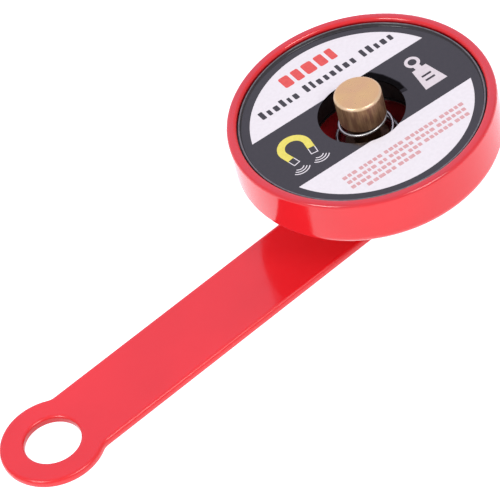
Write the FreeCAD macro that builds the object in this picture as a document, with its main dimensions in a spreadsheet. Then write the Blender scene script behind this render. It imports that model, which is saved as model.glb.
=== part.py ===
import FreeCAD, Part
import Sketcher
import math
import os

# Magnetic holder for a welding earth lead.
#
# A painted steel cup holds a ring magnet behind a printed face disc.  A sprung brass stud in
# the middle of the face carries the current.  Its shank slides in a flanged bush in the cup's
# floor, and a nut and washer on its tail stop it.  A tube welded to the cup's back carries a
# flat handle with an eye, and leaves room for the tail.
#
# Frame: origin at the centre of the stud's flat tip at rest, +Z out of the magnet's face,
# handle along -X, millimetres.

doc = FreeCAD.newDocument("magnet_holder")

# ---------------------------------------------------------------------------------------------
# Driving dimensions: (alias, value, meaning)
# ---------------------------------------------------------------------------------------------
DIMENSIONS = [
    ("tip_above_rim", 5.8, "height of the stud's tip over the cup's rim, at rest"),
    ("travel", 6.0, "how far the stud can be pressed in"),
    ("cup_radius", 40.0, "outside radius of the cup"),
    ("cup_wall", 3.0, "wall of the cup"),
    ("cup_floor", 3.0, "floor of the cup"),
    ("cup_height", 16.0, "rim to back of the cup"),
    ("rim_round", 1.15, "rounding of both edges of the rim"),
    ("back_round", 3.0, "rounding of the cup's back edge"),
    ("label_depth", 1.9, "rim to the top of the face disc"),
    ("label_thick", 0.5, "thickness of the face disc"),
    ("label_radius", 36.6, "outside radius of the face disc"),
    ("label_lip_height", 0.8, "how far the lip at the disc's edge stands over its top"),
    ("label_lip_top", 0.4, "width of the lip at its top"),
    ("label_lip_foot", 1.0, "width of the lip at its foot"),
    ("label_lip_round", 0.15, "rounding of the lip's two edges"),
    ("label_hole_radius", 13.1, "radius of the hole in the face disc"),
    ("magnet_radius", 36.0, "outside radius of the ring magnet"),
    ("magnet_bore_radius", 16.0, "bore radius of the ring magnet"),
    ("magnet_thick", 10.0, "thickness of the ring magnet"),
    ("magnet_chamfer", 0.5, "broken edges of the ring magnet"),
    ("potting_gap", 0.2, "how far the potting stays below the face disc"),
    ("bush_radius", 5.5, "barrel radius of the guide bush"),
    ("bush_flange_radius", 6.5, "flange radius of the guide bush"),
    ("bush_flange_thick", 1.2, "flange thickness of the guide bush"),
    ("bush_below_cup", 2.0, "how far the bush stands out of the cup's back"),
    ("slide_clearance", 0.05, "radial clearance of the shank in its bush"),
    ("shank_radius", 4.0, "shank radius of the stud"),
    ("head_radius", 7.1, "head radius of the stud"),
    ("head_height", 9.5, "head height of the stud"),
    ("head_round", 1.0, "rounding of the head's top edge"),
    ("head_chamfer", 0.3, "chamfer of the head's lower edge"),
    ("pilot_radius", 5.6, "radius of the shoulder that centres the spring"),
    ("pilot_height", 1.4, "height of the shoulder that centres the spring"),
    ("thread_pitch", 1.25, "pitch of the thread on the stud's tail"),
    ("thread_depth", 0.6, "depth of the thread"),
    ("thread_rings", 7, "turns of thread on the tail"),
    ("tail_past_nut", 1.2, "how far the tail stands out of the nut"),
    ("tail_chamfer", 0.7, "chamfer at the end of the tail"),
    ("washer_radius", 8.0, "outside radius of the tail washer"),
    ("washer_bore_radius", 4.2, "bore radius of the tail washer"),
    ("washer_thick", 1.6, "thickness of the tail washer"),
    ("nut_flats", 13.0, "size across the flats of the nut"),
    ("nut_height", 6.0, "height of the nut's hexagon"),
    ("nut_corner_drop", 0.9, "height lost at the nut's chamfered corners"),
    ("collar_radius", 5.9, "outside radius of the nut's collar"),
    ("collar_height", 1.9, "height of the nut's collar"),
    ("collar_lip", 0.4, "lip that holds the nylon ring in the collar"),
    ("insert_radius", 5.2, "outside radius of the nylon ring"),
    ("wire", 1.0, "wire diameter of the spring"),
    ("spring_top_radius", 6.8, "coil radius under the stud's head"),
    ("spring_pitch", 4.95, "drop of one working turn of the spring"),
    ("spring_growth", 1.55, "growth of the coil radius in one turn"),
    ("spring_start_angle", 267.0, "where the top working turn begins, in degrees"),
    ("spring_end_turn", 220.0, "closed turn at each end of the spring, in degrees"),
    ("seat_gap", 0.04, "play between the spring and what it bears on"),
    ("post_radius", 11.0, "outside radius of the handle post"),
    ("post_bore_radius", 8.6, "bore radius of the handle post"),
    ("post_length", 17.1, "cup's back to the top of the handle"),
    ("weld_leg", 1.5, "leg of the post's fillet welds"),
    ("handle_thick", 3.0, "thickness of the handle"),
    ("handle_width", 25.4, "width of the handle"),
    ("handle_length", 127.4, "stud axis to the centre of the eye"),
    ("handle_edge", 1.2, "rounding of the handle's outer edges"),
    ("eye_radius", 15.7, "outside radius of the eye"),
    ("eye_bore_radius", 8.4, "bore radius of the eye and of the hole under the post"),
    ("eye_bore_edge", 1.0, "rounding of the edges of both holes"),
    ("eye_blend", 4.0, "fillet between the eye and the strip"),
]

sheet = doc.addObject("Spreadsheet::Sheet", "dims")
for row, (alias, value, meaning) in enumerate(DIMENSIONS, start=1):
    sheet.set(f"A{row}", alias)
    sheet.set(f"B{row}", str(value))
    sheet.set(f"C{row}", meaning)
    sheet.setAlias(f"B{row}", alias)
doc.recompute()

# Degrees between two points of the spring's centre line.
SPRING_STEP = 20.0

# Heights of the seats, as expressions of the driving dimensions.
RIM = "(-dims.tip_above_rim)"
LABEL_TOP = f"({RIM} - dims.label_depth)"
MAGNET_TOP = f"({LABEL_TOP} - dims.label_thick)"
CUP_BACK = f"({RIM} - dims.cup_height)"
FLOOR_TOP = f"({CUP_BACK} + dims.cup_floor)"
BUSH_END = f"({CUP_BACK} - dims.bush_below_cup)"
NUT_TOP = f"({BUSH_END} - dims.washer_thick)"
NUT_DEPTH = "(dims.nut_height + dims.collar_height)"
HANDLE_TOP = f"({CUP_BACK} - dims.post_length)"
TAIL_LENGTH = f"(-{NUT_TOP} + {NUT_DEPTH} + dims.tail_past_nut)"

sub_parts = []


def size(expression):
    """The number that an expression of the sheet gives."""
    return float(sheet.evalExpression(expression.replace("dims.", "")))


def bind(thing, prop, expression):
    thing.setExpression(prop, expression)


def new_body(name, height="0"):
    """A body with its own name, placed at a height on the stud's axis."""
    body = doc.addObject("PartDesign::Body", name)
    body.Label = name
    bind(body, "Placement.Base.z", height)
    sub_parts.append(body)
    return body


def new_sketch(body, name, role):
    """An empty sketch on one of the body's own origin planes."""
    sketch = body.newObject("Sketcher::SketchObject", name)
    plane = next(item for item in body.Origin.OriginFeatures if item.Role == role)
    sketch.AttachmentSupport = [(plane, "")]
    sketch.MapMode = "FlatFace"
    return sketch


def constrain(sketch, expression, *reference):
    """A dimension of the sketch, bound to an expression."""
    constraint = Sketcher.Constraint(*reference, size(expression))
    index = sketch.addConstraint(constraint)
    bind(sketch, f"Constraints[{index}]", expression)


def add_circle(sketch, radius, x="0"):
    """A circle on the sketch's X axis."""
    centre = FreeCAD.Vector(size(x), 0, 0)
    circle = Part.Circle(centre, FreeCAD.Vector(0, 0, 1), size(radius))
    index = sketch.addGeometry(circle)
    constrain(sketch, radius, "Radius", index)
    if x == "0":
        sketch.addConstraint(Sketcher.Constraint("Coincident", index, 3, -1, 1))
    else:
        sketch.addConstraint(Sketcher.Constraint("PointOnObject", index, 3, -1))
        constrain(sketch, x, "DistanceX", -1, 1, index, 3)


def add_polygon(sketch, corners):
    """A closed outline through corners, each a pair of expressions."""
    points = [FreeCAD.Vector(size(x), size(y), 0) for x, y in corners]
    first = sketch.GeometryCount
    count = len(points)
    for i in range(count):
        sketch.addGeometry(Part.LineSegment(points[i], points[(i + 1) % count]))
    for i in range(count):
        after = first + (i + 1) % count
        sketch.addConstraint(Sketcher.Constraint("Coincident", first + i, 2, after, 1))
    for i, (x, y) in enumerate(corners):
        place_point(sketch, first + i, x, y)


def place_point(sketch, line, x, y):
    """Fixes the start of a line at a pair of expressions."""
    if x == "0":
        sketch.addConstraint(Sketcher.Constraint("PointOnObject", line, 1, -2))
    else:
        constrain(sketch, x, "DistanceX", -1, 1, line, 1)
    if y == "0":
        sketch.addConstraint(Sketcher.Constraint("PointOnObject", line, 1, -1))
    else:
        constrain(sketch, y, "DistanceY", -1, 1, line, 1)


def revolve(body, name, corners, kind="Revolution"):
    """Turns an outline in the XZ plane round the body's Z axis."""
    sketch = new_sketch(body, name + "_sketch", "XZ_Plane")
    add_polygon(sketch, corners)
    feature = body.newObject("PartDesign::" + kind, name)
    feature.Profile = sketch
    feature.ReferenceAxis = (sketch, ["V_Axis"])
    feature.Angle = 360
    sketch.Visibility = False
    doc.recompute()
    return feature


def pad_ring(body, name, outer, inner, height):
    """A flat ring that stands on the body's XY plane."""
    sketch = new_sketch(body, name + "_sketch", "XY_Plane")
    add_circle(sketch, outer)
    add_circle(sketch, inner)
    return pad(body, name, sketch, height)


def pad(body, name, sketch, height):
    feature = body.newObject("PartDesign::Pad", name)
    feature.Profile = sketch
    bind(feature, "Length", height)
    sketch.Visibility = False
    doc.recompute()
    return feature


def pocket_through(body, name, sketch):
    """Cuts a sketch of the XY plane through everything above it."""
    before = body.Shape.Volume
    feature = body.newObject("PartDesign::Pocket", name)
    feature.Profile = sketch
    feature.Type = "ThroughAll"
    feature.Reversed = True
    sketch.Visibility = False
    doc.recompute()
    if body.Shape.Volume >= before:
        raise RuntimeError(name + " cuts nothing")
    return feature


def edges_where(feature, test):
    """Names of the feature's edges that pass a test."""
    edges = enumerate(feature.Shape.Edges, start=1)
    return [f"Edge{number}" for number, edge in edges if test(edge)]


def circle_at(radius, height, x=0.0):
    """A test for round edges of one radius, height and centre, in the body's own frame."""

    def test(edge):
        curve = edge.Curve
        if not isinstance(curve, Part.Circle):
            return False
        same_radius = abs(curve.Radius - size(radius)) < 1e-4
        same_height = abs(curve.Center.z - size(height)) < 1e-4
        return same_radius and same_height and abs(curve.Center.x - x) < 1e-4

    return test


def dress(body, name, kind, base, edges, amount):
    """A fillet or chamfer on some edges of a feature."""
    if not edges:
        raise RuntimeError(name + " has no edges")
    feature = body.newObject("PartDesign::" + kind, name)
    feature.Base = (base, edges)
    bind(feature, "Radius" if kind == "Fillet" else "Size", amount)
    doc.recompute()
    return feature


# ---------------------------------------------------------------------------------------------
# Cup and what is fixed in it
# ---------------------------------------------------------------------------------------------
def make_cup():
    """Pressed pot with a hole for the bush; its local origin is at the back."""
    body = new_body("cup", CUP_BACK)
    inside = "dims.cup_radius - dims.cup_wall"
    corners = [
        ("dims.bush_radius", "0"),
        ("dims.cup_radius", "0"),
        ("dims.cup_radius", "dims.cup_height"),
        (inside, "dims.cup_height"),
        (inside, "dims.cup_floor"),
        ("dims.bush_radius", "dims.cup_floor"),
    ]
    pot = revolve(body, "cup_pot", corners)
    rim_edges = edges_where(pot, circle_at("dims.cup_radius", "dims.cup_height"))
    rim_edges += edges_where(pot, circle_at(inside, "dims.cup_height"))
    rim = dress(body, "cup_rim_round", "Fillet", pot, rim_edges, "dims.rim_round")
    back_edge = edges_where(rim, circle_at("dims.cup_radius", "0"))
    dress(body, "cup_back_round", "Fillet", rim, back_edge, "dims.back_round")


def make_ring_magnet():
    """Ferrite ring; its local origin is at its underside."""
    body = new_body("ring_magnet", f"{MAGNET_TOP} - dims.magnet_thick")
    ring = pad_ring(
        body, "magnet_ring", "dims.magnet_radius", "dims.magnet_bore_radius", "dims.magnet_thick"
    )
    edges = []
    for radius in ("dims.magnet_radius", "dims.magnet_bore_radius"):
        for height in ("0", "dims.magnet_thick"):
            edges += edges_where(ring, circle_at(radius, height))
    dress(body, "magnet_edges", "Chamfer", ring, edges, "dims.magnet_chamfer")


def make_magnet_potting():
    """Epoxy bed under the ring and collar round it; its local origin is on the cup's floor."""
    body = new_body("magnet_potting", FLOOR_TOP)
    bed = f"{MAGNET_TOP} - dims.magnet_thick - {FLOOR_TOP}"
    top = f"{MAGNET_TOP} - dims.potting_gap - {FLOOR_TOP}"
    outside = "dims.cup_radius - dims.cup_wall"
    corners = [
        ("dims.magnet_bore_radius", "0"),
        (outside, "0"),
        (outside, top),
        ("dims.magnet_radius", top),
        ("dims.magnet_radius", bed),
        ("dims.magnet_bore_radius", bed),
    ]
    revolve(body, "potting_ring", corners)


def make_face_label():
    """Printed disc on the magnet, with a low lip round its edge; its local origin is underneath."""
    body = new_body("face_label", MAGNET_TOP)
    lip_top = "dims.label_thick + dims.label_lip_height"
    lip_inside = "dims.label_radius - dims.label_lip_top"
    corners = [
        ("dims.label_hole_radius", "0"),
        ("dims.label_radius", "0"),
        ("dims.label_radius", lip_top),
        (lip_inside, lip_top),
        ("dims.label_radius - dims.label_lip_foot", "dims.label_thick"),
        ("dims.label_hole_radius", "dims.label_thick"),
    ]
    disc = revolve(body, "label_disc", corners)
    edges = edges_where(disc, circle_at("dims.label_radius", lip_top))
    edges += edges_where(disc, circle_at(lip_inside, lip_top))
    dress(body, "label_lip_edges", "Fillet", disc, edges, "dims.label_lip_round")


def make_guide_bush():
    """Flanged bush; its local origin is at its lower end."""
    body = new_body("guide_bush", BUSH_END)
    bore = "dims.shank_radius + dims.slide_clearance"
    flange = "dims.bush_below_cup + dims.cup_floor"
    top = f"{flange} + dims.bush_flange_thick"
    corners = [
        (bore, "0"),
        ("dims.bush_radius", "0"),
        ("dims.bush_radius", flange),
        ("dims.bush_flange_radius", flange),
        ("dims.bush_flange_radius", top),
        (bore, top),
    ]
    revolve(body, "bush_barrel", corners)


# ---------------------------------------------------------------------------------------------
# Stud, its stop and its spring
# ---------------------------------------------------------------------------------------------
def make_contact_stud():
    """Brass stud; its local origin is at the end of its tail."""
    body = new_body("contact_stud", f"-{TAIL_LENGTH}")
    underside = f"{TAIL_LENGTH} - dims.head_height"
    pilot = f"{underside} - dims.pilot_height"
    corners = [
        ("0", "0"),
        ("dims.shank_radius", "0"),
        ("dims.shank_radius", pilot),
        ("dims.pilot_radius", pilot),
        ("dims.pilot_radius", underside),
        ("dims.head_radius", underside),
        ("dims.head_radius", TAIL_LENGTH),
        ("0", TAIL_LENGTH),
    ]
    turned = revolve(body, "stud_turned", corners)
    top_edge = edges_where(turned, circle_at("dims.head_radius", TAIL_LENGTH))
    top = dress(body, "stud_top_round", "Fillet", turned, top_edge, "dims.head_round")
    low_edge = edges_where(top, circle_at("dims.head_radius", underside))
    low = dress(body, "stud_low_chamfer", "Chamfer", top, low_edge, "dims.head_chamfer")
    end_edge = edges_where(low, circle_at("dims.shank_radius", "0"))
    dress(body, "stud_end_chamfer", "Chamfer", low, end_edge, "dims.tail_chamfer")
    cut_thread(body)


def cut_thread(body):
    """Rings of thread on the tail, one groove repeated along the axis."""
    before = body.Shape.Volume
    root = "dims.shank_radius - dims.thread_depth"
    outside = "dims.shank_radius + 0.1"
    flank = "0.45 * dims.thread_pitch"
    middle = "dims.tail_chamfer + 0.5 * dims.thread_pitch"
    corners = [
        (root, middle),
        (outside, f"{middle} - {flank}"),
        (outside, f"{middle} + {flank}"),
    ]
    groove = revolve(body, "thread_ring", corners, kind="Groove")
    pattern = body.newObject("PartDesign::LinearPattern", "thread_rings")
    pattern.Originals = [groove]
    z_axis = next(item for item in body.Origin.OriginFeatures if item.Role == "Z_Axis")
    pattern.Direction = (z_axis, [""])
    bind(pattern, "Length", "dims.thread_pitch * (dims.thread_rings - 1)")
    bind(pattern, "Occurrences", "dims.thread_rings")
    body.Tip = pattern
    doc.recompute()
    if body.Shape.Volume >= before:
        raise RuntimeError("the thread cuts nothing")


def make_tail_washer():
    body = new_body("tail_washer", NUT_TOP)
    pad_ring(
        body, "washer_ring", "dims.washer_radius", "dims.washer_bore_radius", "dims.washer_thick"
    )


def make_retaining_nut():
    """Self-locking nut: hexagon above, round collar below; its local origin is at its low end."""
    body = new_body("retaining_nut", f"{NUT_TOP} - {NUT_DEPTH}")
    bore = "dims.shank_radius + dims.slide_clearance"
    corner = "dims.nut_flats / 2 / cos(30)"
    low = "dims.collar_height"
    sketch = new_sketch(body, "nut_hexagon_sketch", "XY_Plane")
    hexagon = []
    for side in range(6):
        angle = 60 * side
        hexagon.append((f"{corner} * cos({angle})", f"{corner} * sin({angle})"))
    add_polygon(sketch, [(x, "0" if i in (0, 3) else y) for i, (x, y) in enumerate(hexagon)])
    pad(body, "nut_hexagon", sketch, NUT_DEPTH)
    turn_nut_outside(body, corner, low)
    turn_nut_inside(body, bore, low)


def turn_nut_outside(body, corner, low):
    """Takes the hexagon away round the collar and breaks its corners at both ends."""
    flat = "dims.nut_flats / 2"
    clear = f"{corner} + 1"
    drop = f"dims.nut_corner_drop * ({clear} - {flat}) / ({corner} - {flat})"
    below = [
        ("dims.collar_radius", "-1"),
        ("dims.collar_radius", low),
        (flat, low),
        (clear, f"{low} + {drop}"),
        (clear, "-1"),
    ]
    above = [
        (flat, NUT_DEPTH),
        (clear, f"{NUT_DEPTH} - ({drop})"),
        (clear, f"{NUT_DEPTH} + 1"),
        (flat, f"{NUT_DEPTH} + 1"),
    ]
    for name, corners in (("nut_collar", below), ("nut_top_corners", above)):
        before = body.Shape.Volume
        revolve(body, name, corners, kind="Groove")
        if body.Shape.Volume >= before:
            raise RuntimeError(name + " cuts nothing")


def turn_nut_inside(body, bore, low):
    """The bore, and the recess of the nylon ring in the collar."""
    recess = [
        ("0", "-1"),
        (bore, "-1"),
        (bore, "dims.collar_lip"),
        ("dims.insert_radius", "dims.collar_lip"),
        ("dims.insert_radius", low),
        (bore, low),
        (bore, f"{NUT_DEPTH} + 1"),
        ("0", f"{NUT_DEPTH} + 1"),
    ]
    before = body.Shape.Volume
    revolve(body, "nut_bore", recess, kind="Groove")
    if body.Shape.Volume >= before:
        raise RuntimeError("the nut's bore cuts nothing")


def make_nut_insert():
    body = new_body("nut_insert", f"{NUT_TOP} - {NUT_DEPTH} + dims.collar_lip")
    bore = "dims.shank_radius + dims.slide_clearance"
    pad_ring(body, "insert_ring", "dims.insert_radius", bore, "dims.collar_height - dims.collar_lip")


def spring_point(turned, radius, height):
    """A point of the spring's centre line, at an angle that falls as the wire goes down."""
    angle = math.radians(size("dims.spring_start_angle") - turned)
    return FreeCAD.Vector(radius * math.cos(angle), radius * math.sin(angle), height)


def spring_line():
    """Centre line: a closed turn at the top, working turns that widen, a closed turn below."""
    seat = size("dims.wire / 2 + dims.seat_gap")
    top = size("-dims.head_height") - seat
    bottom = size(FLOOR_TOP) + seat
    working = 360.0 * (top - bottom) / size("dims.spring_pitch")
    closed = size("dims.spring_end_turn")
    growth = size("dims.spring_growth") / 360.0
    closing = size("dims.wire") / 2 / closed
    top_radius = size("dims.spring_top_radius")
    points = []
    turned = -closed
    while turned < working + closed + SPRING_STEP / 2:
        share = min(max(turned / working, 0.0), 1.0)
        height = top + (bottom - top) * share
        radius = top_radius + growth * min(max(turned, 0.0), working)
        radius += closing * min(turned, 0.0)
        radius += closing * max(turned - working, 0.0)
        points.append(spring_point(turned, radius, height))
        turned += SPRING_STEP
    return points


def make_conical_spring():
    """Spring wire, swept along its centre line."""
    curve = Part.BSplineCurve()
    curve.interpolate(spring_line())
    path = Part.Wire(curve.toShape())
    start = curve.value(curve.FirstParameter)
    heading = curve.tangent(curve.FirstParameter)[0]
    ring = Part.Circle(start, heading, size("dims.wire") / 2)
    wire = path.makePipeShell([Part.Wire(ring.toShape())], True, True)
    spring = doc.addObject("Part::Feature", "conical_spring")
    spring.Label = "conical_spring"
    spring.Shape = wire
    sub_parts.append(spring)
    section = math.pi * size("dims.wire") ** 2 / 4
    if abs(wire.Volume / (section * curve.length()) - 1) > 0.01:
        raise RuntimeError("the spring's volume is not its section times its length")


# ---------------------------------------------------------------------------------------------
# Post and handle
# ---------------------------------------------------------------------------------------------
def make_handle_post():
    body = new_body("handle_post", HANDLE_TOP)
    pad_ring(body, "post_tube", "dims.post_radius", "dims.post_bore_radius", "dims.post_length")


def make_post_weld(name, height, up):
    """Fillet weld round the post, standing up or hanging down from a flat surface."""
    body = new_body(name, height)
    leg = "dims.weld_leg" if up else "-dims.weld_leg"
    corners = [
        ("dims.post_radius", "0"),
        ("dims.post_radius + dims.weld_leg", "0"),
        ("dims.post_radius + 0.4 * dims.weld_leg", f"0.4 * {leg}"),
        ("dims.post_radius", leg),
    ]
    revolve(body, name + "_bead", corners)


def make_handle():
    """Flat strip with a round end on the post and an eye; its local origin is underneath."""
    body = new_body("handle", f"{HANDLE_TOP} - dims.handle_thick")
    half = "dims.handle_width / 2"
    strip_sketch = new_sketch(body, "handle_strip_sketch", "XY_Plane")
    strip = [
        ("-dims.handle_length", f"-{half}"),
        ("0", f"-{half}"),
        ("0", half),
        ("-dims.handle_length", half),
    ]
    add_polygon(strip_sketch, strip)
    pad(body, "handle_strip", strip_sketch, "dims.handle_thick")
    for name, radius, x in (
        ("handle_post_end", half, "0"),
        ("handle_eye", "dims.eye_radius", "-dims.handle_length"),
    ):
        sketch = new_sketch(body, name + "_sketch", "XY_Plane")
        add_circle(sketch, radius, x)
        last = pad(body, name, sketch, "dims.handle_thick")
    corners = edges_where(last, is_eye_corner)
    blended = dress(body, "eye_blend", "Fillet", last, corners, "dims.eye_blend")
    holes = new_sketch(body, "handle_holes_sketch", "XY_Plane")
    add_circle(holes, "dims.eye_bore_radius")
    add_circle(holes, "dims.eye_bore_radius", "-dims.handle_length")
    outer = edges_where(blended, is_flat_edge)
    rounded = dress(body, "handle_edge_round", "Fillet", blended, outer, "dims.handle_edge")
    bored = pocket_through(body, "handle_holes", holes)
    bore_edges = []
    for height in ("0", "dims.handle_thick"):
        for x in (0.0, -size("dims.handle_length")):
            bore_edges += edges_where(bored, circle_at("dims.eye_bore_radius", height, x))
    dress(body, "bore_edge_round", "Fillet", bored, bore_edges, "dims.eye_bore_edge")


def is_eye_corner(edge):
    """The upright edges where the strip runs into the eye."""
    box = edge.BoundBox
    near_eye = box.XMax < -size("dims.handle_length") / 2
    return near_eye and box.ZLength > size("dims.handle_thick") / 2 and box.XLength < 1e-4


def is_flat_edge(edge):
    """The outline's edges on the top and bottom faces."""
    return edge.BoundBox.ZLength < 1e-4


make_cup()
make_ring_magnet()
make_magnet_potting()
make_face_label()
make_guide_bush()
make_contact_stud()
make_tail_washer()
make_retaining_nut()
make_nut_insert()
make_conical_spring()
make_handle_post()
make_post_weld("post_weld_upper", CUP_BACK, up=False)
make_post_weld("post_weld_lower", HANDLE_TOP, up=True)
make_handle()

# ---------------------------------------------------------------------------------------------
# Checks and export
# ---------------------------------------------------------------------------------------------
doc.recompute()
if size(f"{TAIL_LENGTH} + dims.travel + {HANDLE_TOP} - dims.handle_thick") >= 0:
    raise RuntimeError("the pressed stud stands out under the handle")
for item in doc.Objects:
    if "Invalid" in item.State or "Error" in item.State:
        raise RuntimeError(f"{item.Label} failed: {item.State}")

os.makedirs("parts", exist_ok=True)
for part in sub_parts:
    shape = part.Shape
    if shape.isNull() or not shape.isValid():
        raise RuntimeError(part.Label + " has no valid shape")
    shape.exportStep(os.path.join("parts", part.Label + ".step"))
    box = shape.BoundBox
    print(f"{part.Label:16} {shape.Volume:10.1f} mm3  z {box.ZMin:7.2f} .. {box.ZMax:7.2f}")
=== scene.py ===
import math

import bmesh
import bpy
from mathutils import Matrix, Vector
from mathutils.geometry import delaunay_2d_cdt


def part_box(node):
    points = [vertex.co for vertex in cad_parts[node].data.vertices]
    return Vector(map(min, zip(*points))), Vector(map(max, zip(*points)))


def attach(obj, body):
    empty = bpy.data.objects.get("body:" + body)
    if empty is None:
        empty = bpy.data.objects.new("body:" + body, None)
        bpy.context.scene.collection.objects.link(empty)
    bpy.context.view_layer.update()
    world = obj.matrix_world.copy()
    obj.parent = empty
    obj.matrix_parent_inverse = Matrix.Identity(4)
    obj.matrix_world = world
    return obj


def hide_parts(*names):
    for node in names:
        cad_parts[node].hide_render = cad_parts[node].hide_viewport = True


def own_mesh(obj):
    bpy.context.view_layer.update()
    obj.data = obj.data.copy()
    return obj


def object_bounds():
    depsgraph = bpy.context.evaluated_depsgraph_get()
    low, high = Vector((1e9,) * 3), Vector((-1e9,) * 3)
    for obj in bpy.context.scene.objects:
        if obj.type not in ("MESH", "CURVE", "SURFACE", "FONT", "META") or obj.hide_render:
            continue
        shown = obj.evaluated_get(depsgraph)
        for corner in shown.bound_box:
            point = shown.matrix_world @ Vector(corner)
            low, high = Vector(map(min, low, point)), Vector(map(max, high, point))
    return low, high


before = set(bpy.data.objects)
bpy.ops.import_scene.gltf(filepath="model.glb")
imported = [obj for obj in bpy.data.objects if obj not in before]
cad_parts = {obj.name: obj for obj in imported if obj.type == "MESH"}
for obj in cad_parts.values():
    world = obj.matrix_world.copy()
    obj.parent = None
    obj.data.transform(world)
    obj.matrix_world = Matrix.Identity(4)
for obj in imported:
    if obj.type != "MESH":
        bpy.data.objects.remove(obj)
cad_low, cad_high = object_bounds()
MM = 0.001

# Heights and radii of the part that the frame's boxes don't give, in millimetres
RIM_TOP = -5.8
FLOOR_TOP = -18.8
HEAD_UNDERSIDE = -9.5
HEAD_RADIUS = 7.1
HEAD_ROUND = 1.0
MAGNET_BORE_RADIUS = 16.0
CUP_BORE_RADIUS = 37.0
EYE_OUTER_RADIUS = 15.7
EYE_BORE_RADIUS = 8.4

# ---------------------------------------------------------------------------------------------
# Camera: a long lens that looks down on the face from the handle's side, rolled clockwise
# ---------------------------------------------------------------------------------------------
# Angles in degrees, distance and aim in metres, lens and sensor in millimetres
CAMERA_AZIMUTH = -28.68
CAMERA_ELEVATION = 45.24
CAMERA_ROLL = -16.38
CAMERA_DISTANCE = 0.93454
CAMERA_LENS = 239.24
CAMERA_SENSOR = 36.0
CAMERA_AIM = Vector((-0.05821, -0.01780, -0.0058))


def make_camera():
    azimuth = math.radians(CAMERA_AZIMUTH)
    elevation = math.radians(CAMERA_ELEVATION)
    back = Vector(
        (
            math.sin(azimuth) * math.cos(elevation),
            -math.cos(azimuth) * math.cos(elevation),
            math.sin(elevation),
        )
    )
    level = Vector((math.cos(azimuth), math.sin(azimuth), 0.0))
    right = level.copy()
    right.rotate(Matrix.Rotation(math.radians(CAMERA_ROLL), 3, back))
    up = back.cross(right)
    turn = Matrix((right, up, back)).transposed()
    data = bpy.data.cameras.new("camera")
    data.lens = CAMERA_LENS
    data.sensor_width = CAMERA_SENSOR
    data.clip_start = 0.05
    data.clip_end = 10.0
    camera = bpy.data.objects.new("camera", data)
    camera.matrix_world = Matrix.Translation(CAMERA_AIM + back * CAMERA_DISTANCE) @ turn.to_4x4()
    bpy.context.scene.collection.objects.link(camera)
    bpy.context.scene.camera = camera


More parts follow.
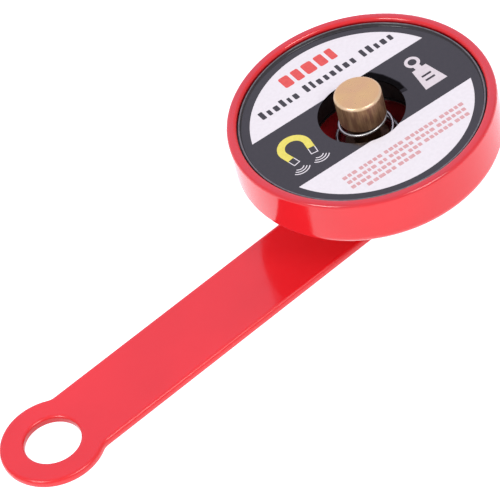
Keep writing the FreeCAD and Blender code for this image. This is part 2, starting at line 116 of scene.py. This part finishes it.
# ---------------------------------------------------------------------------------------------
# Material nodes
# ---------------------------------------------------------------------------------------------
class Shader:
    """A node material with short ways to add the few kinds of node used here."""

    def __init__(self, name):
        self.material = bpy.data.materials.new(name)
        self.material.use_nodes = True
        self.tree = self.material.node_tree
        self.tree.nodes.clear()
        self.output = self.tree.nodes.new("ShaderNodeOutputMaterial")
        self.surface = self.tree.nodes.new("ShaderNodeBsdfPrincipled")
        self.link(self.surface.outputs["BSDF"], self.output.inputs["Surface"])
        self.place = self.tree.nodes.new("ShaderNodeTexCoord").outputs["Object"]

    def link(self, source, target):
        self.tree.links.new(source, target)

    def set(self, socket, value):
        self.surface.inputs[socket].default_value = value

    def stretched(self, scale, turn=(0.0, 0.0, 0.0)):
        node = self.tree.nodes.new("ShaderNodeMapping")
        node.inputs["Scale"].default_value = scale
        node.inputs["Rotation"].default_value = turn
        self.link(self.place, node.inputs["Vector"])
        return node.outputs["Vector"]

    def noise(self, scale, detail=4.0, rough=0.5, vector=None):
        node = self.tree.nodes.new("ShaderNodeTexNoise")
        node.inputs["Scale"].default_value = scale
        node.inputs["Detail"].default_value = detail
        node.inputs["Roughness"].default_value = rough
        self.link(vector or self.place, node.inputs["Vector"])
        return node.outputs["Fac"]

    def spread(self, value, low, high, from_low=0.3, from_high=0.7):
        """Maps a value from one range to another and stops at both ends."""
        node = self.tree.nodes.new("ShaderNodeMapRange")
        node.inputs["From Min"].default_value = from_low
        node.inputs["From Max"].default_value = from_high
        node.inputs["To Min"].default_value = low
        node.inputs["To Max"].default_value = high
        self.link(value, node.inputs["Value"])
        return node.outputs["Result"]

    def blend(self, value, one, two, from_low=0.35, from_high=0.65):
        """A colour that runs from one to two with a noise value."""
        node = self.tree.nodes.new("ShaderNodeValToRGB")
        node.color_ramp.elements[0].position = from_low
        node.color_ramp.elements[0].color = (*one, 1.0)
        node.color_ramp.elements[1].position = from_high
        node.color_ramp.elements[1].color = (*two, 1.0)
        self.link(value, node.inputs["Fac"])
        return node.outputs["Color"]

    def math(self, operation, one, two=0.0):
        node = self.tree.nodes.new("ShaderNodeMath")
        node.operation = operation
        for socket, value in zip(node.inputs, (one, two)):
            if isinstance(value, float):
                socket.default_value = value
            else:
                self.link(value, socket)
        return node.outputs["Value"]

    def both(self, one, two):
        return self.math("MULTIPLY", one, two)

    def axes(self):
        """The three object coordinates, which are the part's own frame in metres."""
        node = self.tree.nodes.new("ShaderNodeSeparateXYZ")
        self.link(self.place, node.inputs["Vector"])
        return node.outputs["X"], node.outputs["Y"], node.outputs["Z"]

    def distance(self, x, y):
        squares = self.math("ADD", self.both(x, x), self.both(y, y))
        return self.math("SQRT", squares)

    def radius(self):
        """Distance from the stud's axis, in metres."""
        x, y, _ = self.axes()
        return self.distance(x, y)

    def rise(self, value, start, end):
        """0 up to start and 1 from end on; both are in millimetres."""
        return self.spread(value, 0.0, 1.0, start * MM, end * MM)

    def fall(self, value, start, end):
        """1 up to start and 0 from end on; both are in millimetres."""
        return self.spread(value, 1.0, 0.0, start * MM, end * MM)

    def well_mask(self):
        """1 on the floor of the well round the stud, 0 elsewhere."""
        near = self.fall(self.radius(), MAGNET_BORE_RADIUS + 1.0, MAGNET_BORE_RADIUS + 1.5)
        inside = self.rise(self.axes()[2], FLOOR_TOP - 1.7, FLOOR_TOP - 0.7)
        return self.both(near, inside)

    def bush_mask(self):
        """1 on the well's floor close to the bush, fading outwards."""
        near = self.fall(self.radius(), 7.5, 13.0)
        return self.both(near, self.well_mask())

    def stud_shadow_mask(self):
        """1 on the side of the well's floor away from the handle, fading across it: where the stud's
        painted shadow falls.
        """
        side = self.rise(self.axes()[0], -6.0, 9.0)
        return self.both(side, self.well_mask())

    def seam_mask(self):
        """1 on the cup's inner wall in the gap round the label, 0 elsewhere."""
        z = self.axes()[2]
        wall = self.fall(self.radius(), CUP_BORE_RADIUS + 0.1, CUP_BORE_RADIUS + 0.7)
        outer = self.rise(self.radius(), 30.0, 31.0)
        below = self.fall(z, RIM_TOP - 1.3, RIM_TOP - 0.6)
        above = self.rise(z, FLOOR_TOP - 1.2, FLOOR_TOP - 0.2)
        return self.both(self.both(wall, outer), self.both(below, above))

    def rim_mask(self):
        """Up to 1 on the cup's rim, in noise patches, where a painted sheen turns the red paler and
        pinker.
        """
        outer = self.rise(self.radius(), CUP_BORE_RADIUS + 0.4, CUP_BORE_RADIUS + 0.9)
        top = self.rise(self.axes()[2], RIM_TOP - 1.0, RIM_TOP - 0.3)
        patches = self.spread(self.noise(180.0, 4.0), 0.6, 1.0)
        return self.both(patches, self.both(outer, top))

    def handle_edge_mask(self):
        """1 on the handle's rounded edges, walls and underside, 0 on its top face and above."""
        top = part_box("handle")[1].z / MM
        return self.fall(self.axes()[2], top - 0.12, top - 0.03)

    def bore_mask(self):
        """1 on the wall of the handle's eye, 0 elsewhere."""
        low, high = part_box("handle")
        x, y, z = self.axes()
        from_eye = self.math("SUBTRACT", x, low.x + EYE_OUTER_RADIUS * MM)
        near = self.fall(self.distance(from_eye, y), EYE_BORE_RADIUS + 0.3, EYE_BORE_RADIUS + 0.9)
        top = high.z / MM
        return self.both(near, self.fall(z, top - 0.9, top - 0.3))

    def tinted(self, colour, tint, amount):
        """A colour multiplied by a tint where amount is 1."""
        node = self.tree.nodes.new("ShaderNodeMix")
        node.data_type = "RGBA"
        node.blend_type = "MULTIPLY"
        self.link(amount, node.inputs["Factor"])
        self.link(colour, node.inputs[6])
        node.inputs[7].default_value = (*tint, 1.0)
        return node.outputs[2]

    def colour(self, output):
        self.link(output, self.surface.inputs["Base Color"])

    def rough(self, output):
        self.link(output, self.surface.inputs["Roughness"])

    def bump(self, height, depth, below=None):
        """Bump of a real depth in metres, laid over another bump."""
        node = self.tree.nodes.new("ShaderNodeBump")
        node.inputs["Strength"].default_value = 1.0
        node.inputs["Distance"].default_value = depth
        self.link(height, node.inputs["Height"])
        if below is not None:
            self.link(below, node.inputs["Normal"])
        self.link(node.outputs["Normal"], self.surface.inputs["Normal"])
        return node.outputs["Normal"]


def red_paint():
    """Glossy enamel: faint orange peel and rubbed handle edges, a painted sheen on the rim, and painted
    shade in the seam, the well and the handle's eye.
    """
    shader = Shader("red_paint")
    tone = shader.blend(shader.noise(25.0, 3.0), (0.57, 0.0095, 0.014), (0.63, 0.0115, 0.0165))
    # Painted shade: the well's floor is darkened because little light reaches it.
    tone = shader.tinted(tone, (0.62, 0.75, 0.75), shader.well_mask())
    # Painted shadow of the stud on the side of the well away from the handle.
    tone = shader.tinted(tone, (0.35, 0.50, 0.50), shader.stud_shadow_mask())
    # Painted shade under the stud and the spring, round the bush.
    tone = shader.tinted(tone, (0.30, 0.35, 0.35), shader.bush_mask())
    # Painted shade in the narrow gap between the label and the cup's wall.
    tone = shader.tinted(tone, (0.40, 0.30, 0.35), shader.seam_mask())
    # Painted sheen on the rim's rounded top: a paler, pinker red in patches.
    tone = shader.tinted(tone, (0.80, 2.2, 2.2), shader.rim_mask())
    # Painted shade on the wall of the handle's eye.
    tone = shader.tinted(tone, (0.72, 0.45, 0.45), shader.bore_mask())
    shader.colour(tone)
    gloss = shader.spread(shader.noise(120.0, 5.0), 0.09, 0.16)
    edge_band = shader.both(shader.handle_edge_mask(), 0.12)
    shader.rough(shader.math("ADD", gloss, edge_band))
    shader.set("IOR", 1.5)
    peel = shader.bump(shader.noise(700.0, 2.0, 0.4), 0.000004)
    shader.bump(shader.noise(60.0, 2.0), 0.00002, peel)
    return shader.material


def brass(name, tone_one, tone_two, rough_low, rough_high):
    """Drawn brass bar: streaks along the axis, slight tarnish, a painted highlight on the top edge, and
    painted shade below the head.
    """
    shader = Shader(name)
    streaks = shader.noise(1.0, 4.0, 0.6, shader.stretched((2600.0, 2600.0, 90.0)))
    bands = shader.noise(1.0, 3.0, 0.6, shader.stretched((620.0, 620.0, 160.0)))
    tarnish = shader.noise(170.0, 3.0, 0.5)
    tone = shader.blend(tarnish, tone_one, tone_two)
    z = shader.axes()[2]
    side = shader.fall(z, -HEAD_ROUND - 0.2, -HEAD_ROUND + 0.4)
    worn = shader.both(side, shader.spread(streaks, 0.8, 0.0, 0.35, 0.6))
    stained = shader.both(side, shader.spread(bands, 1.0, 0.0, 0.36, 0.58))
    # The head's rounded top edge, which gets a painted highlight.
    outside = shader.rise(shader.radius(), HEAD_RADIUS - 0.8, HEAD_RADIUS - 0.2)
    edge_band = shader.both(outside, shader.rise(z, -HEAD_ROUND - 0.2, -HEAD_ROUND + 0.4))
    below = shader.fall(z, HEAD_UNDERSIDE - 0.3, HEAD_UNDERSIDE + 0.1)
    tone = shader.tinted(tone, (0.68, 0.60, 0.58), worn)
    tone = shader.tinted(tone, (0.64, 0.56, 0.62), stained)
    tone = shader.tinted(tone, (0.95, 0.92, 1.06), side)
    # Painted highlight: the rounded top edge is whitened so that it shines white.
    tone = shader.tinted(tone, (1.30, 1.50, 2.00), edge_band)
    # Painted shade below the head: the shank and the bush down in the well are darkened.
    tone = shader.tinted(tone, (0.16, 0.12, 0.09), below)
    shader.colour(tone)
    shader.set("Metallic", 0.70)
    grain = shader.spread(shader.noise(500.0, 4.0), rough_low, rough_high)
    grain = shader.math("ADD", grain, shader.both(side, 0.12))
    shader.rough(shader.math("ADD", grain, shader.both(edge_band, 0.05)))
    lines = shader.stretched((500.0, 4000.0, 500.0), (0.0, 0.0, 0.5))
    scratches = shader.bump(shader.noise(1.0, 3.0, 0.6, lines), 0.0000008)
    shader.bump(shader.both(streaks, side), 0.00003, scratches)
    return shader.material


def plain_metal(name, one, two, rough_low, rough_high, grain=900.0):
    shader = Shader(name)
    shader.colour(shader.blend(shader.noise(grain * 0.3, 4.0), one, two))
    shader.set("Metallic", 1.0)
    shader.rough(shader.spread(shader.noise(grain, 3.0), rough_low, rough_high))
    shader.bump(shader.noise(grain, 3.0), 0.000003)
    return shader.material


def ceramic(name, one, two, rough_low, rough_high, depth):
    """Matt black ceramic or resin with a fine cast grain."""
    shader = Shader(name)
    shader.colour(shader.blend(shader.noise(800.0, 5.0), one, two))
    shader.rough(shader.spread(shader.noise(400.0, 4.0), rough_low, rough_high))
    shader.bump(shader.noise(1500.0, 4.0), depth)
    return shader.material


def ink(name, one, two, ior):
    """One printed colour under the label's clear film."""
    shader = Shader(name)
    shader.colour(shader.blend(shader.noise(900.0, 4.0), one, two))
    shader.rough(shader.spread(shader.noise(90.0, 4.0), 0.10, 0.16))
    shader.set("IOR", ior)
    shader.bump(shader.noise(45.0, 2.0), 0.000012)
    return shader.material


def paint_nodes():
    """Gives each CAD node that stays its material."""
    zinc = plain_metal("zinc_plate", (0.62, 0.63, 0.62), (0.74, 0.74, 0.72), 0.22, 0.36)
    enamel = red_paint()
    bright_brass = brass("drawn_brass", (0.535, 0.325, 0.168), (0.560, 0.362, 0.162), 0.24, 0.34)
    ferrite = ceramic("ferrite", (0.010, 0.010, 0.011), (0.022, 0.021, 0.022), 0.5, 0.7, 0.00001)
    resin = ceramic("resin", (0.008, 0.008, 0.008), (0.014, 0.013, 0.013), 0.3, 0.45, 0.00001)
    nylon = ceramic("blue_nylon", (0.02, 0.05, 0.25), (0.03, 0.07, 0.30), 0.35, 0.5, 0.000005)
    finish = {
        "cup": enamel,
        "handle": enamel,
        "handle_post": enamel,
        "post_weld_upper": enamel,
        "post_weld_lower": enamel,
        "ring_magnet": ferrite,
        "magnet_potting": resin,
        "guide_bush": bright_brass,
        "contact_stud": bright_brass,
        "tail_washer": zinc,
        "retaining_nut": zinc,
        "nut_insert": nylon,
    }
    for name, material in finish.items():
        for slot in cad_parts[name].material_slots:
            slot.material = material


# ---------------------------------------------------------------------------------------------
# Face label: one closed mesh, whose flat top is cut along every printed outline
# ---------------------------------------------------------------------------------------------
# The print's turn round the axis, then radii, widths and heights in millimetres
LABEL_TURN = math.radians(-6.4)
INK_RADIUS = 33.2
BAND_HALF = 12.1
LABEL_HOLE = 13.1
LIP_HEIGHT = 0.8
LIP_FOOT = 1.0
LIP_TOP = 0.4
LIP_ROUND = 0.15
PRINTED_SHARE = 0.9
ROUND_STEPS = 256

# Each ink's two tones, in the order of the label's material slots
INK_COLOURS = {
    "dark": ((0.010, 0.009, 0.010), (0.014, 0.012, 0.013)),
    # The two shade inks are for the painted shadow of the stud beside the hole.
    "half_shade": ((0.008, 0.007, 0.009), (0.011, 0.010, 0.012)),
    "shade": ((0.003, 0.0026, 0.003), (0.005, 0.0045, 0.005)),
    "white": ((0.605, 0.575, 0.575), (0.635, 0.605, 0.605)),
    "pale_grey": ((0.52, 0.465, 0.47), (0.56, 0.51, 0.51)),
    "red": ((0.55, 0.045, 0.035), (0.60, 0.06, 0.045)),
    "black": ((0.012, 0.010, 0.012), (0.018, 0.016, 0.018)),
    "pale_red": ((0.50, 0.25, 0.245), (0.54, 0.30, 0.29)),
    "yellow": ((0.575, 0.505, 0.064), (0.635, 0.555, 0.088)),
    "slope": ((0.018, 0.016, 0.020), (0.024, 0.021, 0.026)),
    "edge": ((0.075, 0.070, 0.074), (0.12, 0.11, 0.115)),
}
FILM_IOR = 1.5
# The patch beside the hole is a painted shadow of the stud; its inks have a low IOR, so it hardly
# mirrors the surroundings.
INK_IOR = {"half_shade": 1.22, "shade": 1.04}
INKS = list(INK_COLOURS)


def circle_points(radius, steps=ROUND_STEPS, centre=(0.0, 0.0), start=0.0, end=2 * math.pi):
    """Points on a circle or an arc, in millimetres; an arc keeps both its ends."""
    whole = abs(end - start) > 2 * math.pi - 1e-6
    count = steps if whole else steps + 1
    points = []
    for i in range(count):
        angle = start + (end - start) * i / steps
        points.append((centre[0] + radius * math.cos(angle), centre[1] + radius * math.sin(angle)))
    return points


def ring_sector(centre, inner, outer, start, end, steps=10):
    out = circle_points(outer, steps, centre, start, end)
    back = circle_points(inner, steps, centre, start, end)
    return out + back[::-1]


def block(x, y, width, height, corner):
    """A rectangle with round corners, from its lower left corner."""
    points = []
    places = [
        (x + width - corner, y + corner, -90),
        (x + width - corner, y + height - corner, 0),
        (x + corner, y + height - corner, 90),
        (x + corner, y + corner, 180),
    ]
    for cx, cy, begin in places:
        start = math.radians(begin)
        points += circle_points(corner, 3, (cx, cy), start, start + math.pi / 2)
    return points


# Shares of width that the blocks of a word take in turn, so that a row isn't too even
LETTER_WIDTHS = (1.0, 0.82, 1.1, 0.9, 0.7, 1.05, 0.88)


def word_row(left, base, width, height, words, gap, mixed=False):
    """A row of blank blocks in words, spread over a width; mixed heights look like small letters."""
    shares = []
    for number, count in enumerate(words):
        for i in range(count):
            shares.append((LETTER_WIDTHS[(number * 3 + i) % len(LETTER_WIDTHS)], i == count - 1))
    space = gap * 2.6
    fixed = sum(space if last else gap for _, last in shares) - space
    unit = (width - fixed) / sum(share for share, _ in shares)
    shapes = []
    x = left
    first = True
    for number, (share, last) in enumerate(shares):
        tall = height * (0.72 if mixed and not first and number % 4 != 3 else 1.0)
        shapes.append(block(x, base, unit * share, tall, min(height, unit * share) * 0.2))
        x += unit * share + (space if last else gap)
        first = last
    return shapes


def white_segment(side):
    """The white part of the print above (+1) or below (-1) the band."""
    edge = math.asin(BAND_HALF / INK_RADIUS)
    middle = side * math.pi / 2
    half = math.pi / 2 - edge
    return circle_points(INK_RADIUS, 96, (0.0, 0.0), middle - half, middle + half)


def shade_patch(start, shrink):
    """The painted shadow of the stud beside the hole, from a start angle, in true azimuths."""
    inner = LABEL_HOLE - 0.3
    # Azimuth in degrees and radius in millimetres of the patch's outer edge
    edge = [(0, 15.3), (14, 15.3), (24, 15.7), (38, 16.3), (50, 16.4), (60, 15.4)]
    outline = [(start, inner), (start, 15.1 - shrink)]
    outline += [(azimuth, radius - shrink) for azimuth, radius in edge]
    outline += [(azimuth, inner) for azimuth in range(64, int(start), -10)]
    points = []
    for azimuth, radius in outline:
        angle = math.radians(azimuth) - LABEL_TURN
        points.append((radius * math.cos(angle), radius * math.sin(angle)))
    return points


def along_leg(foot, lean, side, length, half):
    """Four corners of a piece of the horseshoe's leg that starts at foot and runs down."""
    down = Vector((-side * math.sin(lean), -math.cos(lean)))
    across = Vector((math.cos(lean), -side * math.sin(lean)))
    near = foot + down * length[0]
    far = foot + down * length[1]
    out = across * half
    return [tuple(corner) for corner in (near - out, far - out, far + out, near + out)]


def magnet_sign():
    """Horseshoe magnet with its poles down, and three field lines under each pole."""
    centre = Vector((-22.75, 1.9))
    middle = 4.1
    half = 1.17
    lean = math.radians(10)
    arch = ring_sector(centre, middle - half, middle + half, -lean, math.pi + lean, 40)
    shapes = [("yellow", arch)]
    for side in (-1, 1):
        foot = centre + Vector((side * middle * math.cos(lean), -middle * math.sin(lean)))
        shapes.append(("yellow", along_leg(foot, lean, side, (-0.3, 2.8), half)))
        shapes.append(("white", along_leg(foot, lean, side, (2.8, 5.3), half)))
        shapes.append(("black", along_leg(foot, lean, side, (2.5, 3.9), half - 0.26)))
        shapes.append(("dark", along_leg(foot, lean, side, (3.8, 5.0), half - 0.26)))
        pole = (centre.x + side * 3.45, centre.y - 6.7)
        for radius in (1.75, 2.65, 3.55):
            line = ring_sector(pole, radius - 0.16, radius + 0.16, math.radians(221), math.radians(319))
            shapes.append(("white", line))
    return shapes


def weight_sign():
    """A plain hanging weight with a ring."""
    x = 22.6
    foot = -6.6
    body = [(x - 3.9, foot), (x + 3.9, foot), (x + 2.5, foot + 9.0), (x - 2.5, foot + 9.0)]
    ring = circle_points(2.4, 28, (x, foot + 12.4))
    hole = circle_points(1.35, 24, (x, foot + 12.4))
    neck = block(x - 1.1, foot + 8.6, 2.2, 2.2, 0.3)
    shapes = [("pale_grey", ring), ("dark", hole), ("pale_grey", neck), ("pale_grey", body)]
    for rise in (2.8, 4.8):
        shapes.append(("dark", block(x - 1.7, foot + rise, 3.4, 0.8, 0.25)))
    return shapes


def label_art():
    """(ink, outline) in the order of printing, in the band's own axes, in millimetres."""
    # Painted shadow of the stud: a soft-edged dark patch beside the hole, in two inks.
    art = [("half_shade", shade_patch(-17, 0.0)), ("shade", shade_patch(-11, 0.3))]
    art += [("white", white_segment(1)), ("white", white_segment(-1))]
    art += [("red", shape) for shape in word_row(-10.4, 24.1, 19.0, 5.0, (5,), 1.05)]
    art += [("black", shape) for shape in word_row(-22.9, 18.1, 47.8, 3.4, (6, 8, 5), 1.0, True)]
    # Left end, width and blocks in each word, for each line of the small print
    lines = [
        (-20.0, 43.0, (3, 5, 4, 7, 5)),
        (-19.9, 42.2, (6, 2, 5, 4, 6)),
        (-20.1, 42.0, (4, 7, 3, 6, 3)),
        (-16.1, 18.8, (5, 4)),
    ]
    for number, (left, width, words) in enumerate(lines):
        base = -19.5 - 2.29 * number
        art += [("pale_red", shape) for shape in word_row(left, base, width, 1.36, words, 0.40)]
    return art + magnet_sign() + weight_sign()


def cut_outlines(outlines):
    """Cuts the plane along closed outlines: corners, triangles and the outlines round each triangle."""
    points = []
    edges = []
    faces = []
    for outline in outlines:
        first = len(points)
        count = len(outline)
        points += [Vector(p) for p in outline]
        edges += [(first + i, first + (i + 1) % count) for i in range(count)]
        faces.append(list(range(first, first + count)))
    cut = delaunay_2d_cdt(points, edges, faces, 1, 1e-5)
    return cut[0], cut[2], cut[5]


def flat_print(radius, height):
    """The label's flat top as a mesh: each triangle has the ink that was printed last over it."""
    art = label_art()
    outlines = [circle_points(radius), circle_points(LABEL_HOLE)] + [shape for _, shape in art]
    corners, triangles, owners = cut_outlines(outlines)
    mesh = bmesh.new()
    turn = Matrix.Rotation(LABEL_TURN, 2)
    made = [mesh.verts.new((*(turn @ corner * MM), height)) for corner in corners]
    for triangle, owner in zip(triangles, owners):
        if 1 in owner or 0 not in owner:
            continue
        printed = [number - 2 for number in owner if number >= 2]
        name = art[max(printed)][0] if printed else "dark"
        face = mesh.faces.new([made[i] for i in triangle])
        face.material_index = INKS.index(name)
    loose = [vert for vert in mesh.verts if not vert.link_faces]
    bmesh.ops.delete(mesh, geom=loose, context="VERTS")
    mesh.normal_update()
    for face in mesh.faces:
        if face.normal.z < 0:
            face.normal_flip()
    return mesh


def make_label():
    low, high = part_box("face_label")
    outer = (high.x - low.x) / 2
    top = high.z - LIP_HEIGHT * MM
    mesh = flat_print(outer / MM - LIP_FOOT, top)
    close_label(mesh, outer, LABEL_HOLE * MM, low.z, top)
    piece = finish_piece("printed_label", mesh)
    for name, (one, two) in INK_COLOURS.items():
        piece.data.materials.append(ink("label_" + name, one, two, INK_IOR.get(name, FILM_IOR)))
    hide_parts("face_label")
    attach(piece, "holder")


def lip_profile():
    """(inset from the edge, rise over the flat top, ink), from the lip's foot to its outer wall."""
    rows = []
    for i in range(1, 11):
        share = i / 10
        inset = LIP_FOOT + (LIP_TOP - LIP_FOOT) * share
        rise = LIP_HEIGHT * share * share * (3 - 2 * share)
        rows.append((inset, rise, "slope" if share <= PRINTED_SHARE else "edge"))
    for i in range(5):
        angle = math.pi / 2 * i / 4
        inset = LIP_ROUND * (1 - math.sin(angle))
        rows.append((inset, LIP_HEIGHT - LIP_ROUND * (1 - math.cos(angle)), "edge"))
    return rows


def carry_ring(mesh, edges, rows):
    """Carries a closed boundary through rows of (radius or None, height, ink); gives the last ring."""
    pairs = []
    for edge in edges:
        loop = edge.link_loops[0]
        pairs.append((loop.link_loop_next.vert, loop.vert))
    ring = {vert: vert for pair in pairs for vert in pair}
    for radius, height, name in rows:
        after = {}
        for vert in ring:
            flat = vert.co.xy if radius is None else vert.co.xy.normalized() * radius
            after[vert] = mesh.verts.new((flat.x, flat.y, height))
        for first, second in pairs:
            face = mesh.faces.new((ring[first], ring[second], after[second], after[first]))
            face.material_index = INKS.index(name)
            face.smooth = radius is not None
        ring = after
    return list(ring.values())


def close_label(mesh, outer, hole, bottom, top):
    """Adds the lip, the walls and the underside to the label's flat top."""
    rim = [edge for edge in mesh.edges if len(edge.link_faces) == 1]
    middle = (outer + hole) / 2
    far = [edge for edge in rim if edge.verts[0].co.xy.length > middle]
    near = [edge for edge in rim if edge.verts[0].co.xy.length <= middle]
    rows = [(outer - inset * MM, top + rise * MM, name) for inset, rise, name in lip_profile()]
    low_rings = [
        # The outer wall takes the dark ink as painted shade, so the gap round the label reads dark.
        carry_ring(mesh, far, rows + [(outer, bottom, "dark")]),
        # The hole's wall takes the shade ink: painted shade inside the hole.
        carry_ring(mesh, near, [(None, bottom, "shade")]),
    ]
    bridge = []
    for ring in low_rings:
        ring.sort(key=polar)
        for a, b in zip(ring, ring[1:] + ring[:1]):
            bridge.append(mesh.edges.get((a, b)))
    made = bmesh.ops.bridge_loops(mesh, edges=bridge)
    mesh.normal_update()
    for face in made["faces"]:
        face.material_index = INKS.index("edge")
        if face.normal.z > 0:
            face.normal_flip()


def polar(vert):
    return math.atan2(vert.co.y, vert.co.x)


def finish_piece(name, mesh):
    """Turns a bmesh into a linked object of the scene."""
    data = bpy.data.meshes.new(name)
    mesh.to_mesh(data)
    mesh.free()
    piece = bpy.data.objects.new(name, data)
    bpy.context.scene.collection.objects.link(piece)
    return piece


# ---------------------------------------------------------------------------------------------
# Spring: a smooth tube on the CAD spring's centre line
# ---------------------------------------------------------------------------------------------
# Sizes in millimetres, angles in degrees; the growth is that of the radius in one turn
WIRE_DIAMETER = 1.0
SPRING_TOP_RADIUS = 6.8
SPRING_PITCH = 4.95
SPRING_GROWTH = 1.55
SPRING_START = 267.0
SPRING_END_TURN = 220.0
SPRING_STEPS = 240
WIRE_SIDES = 20
SPRING_CLEARANCE = 0.04
SPRING_SEAT = WIRE_DIAMETER / 2 + SPRING_CLEARANCE


def spring_line():
    """Centre line in millimetres: a closed turn at each end, working turns that widen."""
    top = HEAD_UNDERSIDE - SPRING_SEAT
    bottom = FLOOR_TOP + SPRING_SEAT
    working = 360.0 * (top - bottom) / SPRING_PITCH
    closing = WIRE_DIAMETER / 2 / SPRING_END_TURN
    points = []
    for i in range(SPRING_STEPS + 1):
        turned = -SPRING_END_TURN + (working + 2 * SPRING_END_TURN) * i / SPRING_STEPS
        share = min(max(turned / working, 0.0), 1.0)
        radius = SPRING_TOP_RADIUS + SPRING_GROWTH / 360.0 * min(max(turned, 0.0), working)
        radius += closing * (min(turned, 0.0) + max(turned - working, 0.0))
        angle = math.radians(SPRING_START - turned)
        height = top + (bottom - top) * share
        points.append(Vector((radius * math.cos(angle), radius * math.sin(angle), height)))
    return points


def make_spring():
    line = spring_line()
    mesh = bmesh.new()
    rings = []
    for i, point in enumerate(line):
        along = (line[min(i + 1, len(line) - 1)] - line[max(i - 1, 0)]).normalized()
        outward = Vector((point.x, point.y, 0.0))
        outward = (outward - along * outward.dot(along)).normalized()
        across = along.cross(outward)
        ring = []
        for k in range(WIRE_SIDES):
            angle = 2 * math.pi * k / WIRE_SIDES
            edge = outward * math.cos(angle) + across * math.sin(angle)
            ring.append(mesh.verts.new((point + edge * WIRE_DIAMETER / 2) * MM))
        rings.append(ring)
    for one, two in zip(rings, rings[1:]):
        for k in range(WIRE_SIDES):
            after = (k + 1) % WIRE_SIDES
            mesh.faces.new((one[k], one[after], two[after], two[k]))
    mesh.faces.new(rings[0][::-1])
    mesh.faces.new(rings[-1])
    bmesh.ops.recalc_face_normals(mesh, faces=mesh.faces)
    piece = finish_piece("spring_wire", mesh)
    for polygon in piece.data.polygons:
        polygon.use_smooth = len(polygon.vertices) == 4
    bright = plain_metal("spring_wire", (0.46, 0.44, 0.43), (0.58, 0.55, 0.54), 0.34, 0.46, 1400.0)
    piece.data.materials.append(bright)
    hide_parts("conical_spring")
    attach(piece, "holder")
    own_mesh(piece)


# ---------------------------------------------------------------------------------------------
# Floor and light
# ---------------------------------------------------------------------------------------------
# Sizes in metres; the gap keeps the floor just under the part
FLOOR_GAP = 0.00005
FLOOR_HALF = 3.0
# Towards this direction the surroundings are brightest: flat faces mirror it to the camera.
BRIGHT_DIRECTION = (0.338, 0.618, 0.710)
DIM_SKY = (0.62, 0.62, 0.64, 1.0)
BRIGHT_SKY = (1.0, 0.96, 1.2, 1.0)
LIGHT_DISTANCE = 3.0
LIGHT_HEIGHT = 0.93


def make_floor():
    data = bpy.data.meshes.new("floor")
    half = FLOOR_HALF
    z = cad_low.z - FLOOR_GAP
    corners = [(-half, -half, z), (half, -half, z), (half, half, z), (-half, half, z)]
    data.from_pydata(corners, [], [(0, 1, 2, 3)])
    floor = bpy.data.objects.new("floor", data)
    bpy.context.scene.collection.objects.link(floor)
    shader = Shader("floor_paper")
    shader.colour(shader.blend(shader.noise(3.0, 2.0), (0.50, 0.50, 0.505), (0.52, 0.52, 0.525)))
    shader.set("Roughness", 0.9)
    shader.set("Emission Color", (0.9, 0.95, 1.0, 1.0))
    shader.set("Emission Strength", 1.02)
    data.materials.append(shader.material)


def make_light(name, azimuth, elevation, width, radiance):
    """A softbox that looks at the stud; azimuth from +X and elevation in degrees, sizes in metres."""
    turn = math.radians(azimuth)
    rise = math.radians(elevation)
    flat = math.cos(rise)
    toward = Vector((math.cos(turn) * flat, math.sin(turn) * flat, math.sin(rise)))
    data = bpy.data.lights.new(name, "AREA")
    data.shape = "RECTANGLE"
    data.size = width
    data.size_y = LIGHT_HEIGHT
    data.energy = radiance * math.pi * width * LIGHT_HEIGHT
    lamp = bpy.data.objects.new(name, data)
    lamp.location = toward * LIGHT_DISTANCE
    lamp.rotation_mode = "QUATERNION"
    lamp.rotation_quaternion = (-toward).to_track_quat("-Z", "Y")
    bpy.context.scene.collection.objects.link(lamp)


def make_world():
    """Soft surroundings, brightest behind the object and dimmer overhead."""
    world = bpy.data.worlds.new("studio")
    world.use_nodes = True
    tree = world.node_tree
    background = tree.nodes["Background"]
    place = tree.nodes.new("ShaderNodeTexCoord")
    dot = tree.nodes.new("ShaderNodeVectorMath")
    dot.operation = "DOT_PRODUCT"
    dot.inputs[1].default_value = BRIGHT_DIRECTION
    tree.links.new(place.outputs["Generated"], dot.inputs[0])
    ramp = tree.nodes.new("ShaderNodeValToRGB")
    ramp.color_ramp.elements[0].position = 0.55
    ramp.color_ramp.elements[0].color = DIM_SKY
    ramp.color_ramp.elements[1].position = 0.86
    ramp.color_ramp.elements[1].color = BRIGHT_SKY
    tree.links.new(dot.outputs["Value"], ramp.inputs["Fac"])
    tree.links.new(ramp.outputs["Color"], background.inputs["Color"])
    background.inputs["Strength"].default_value = 1.2
    bpy.context.scene.world = world


def make_studio():
    make_world()
    make_light("key", azimuth=189.0, elevation=42.0, width=0.98, radiance=13.0)
    make_light("fill", azimuth=-82.0, elevation=46.0, width=1.18, radiance=10.0)
    view = bpy.context.scene.view_settings
    view.view_transform = "Standard"
    view.look = "None"


make_camera()
make_studio()
make_floor()
paint_nodes()
make_label()
make_spring()
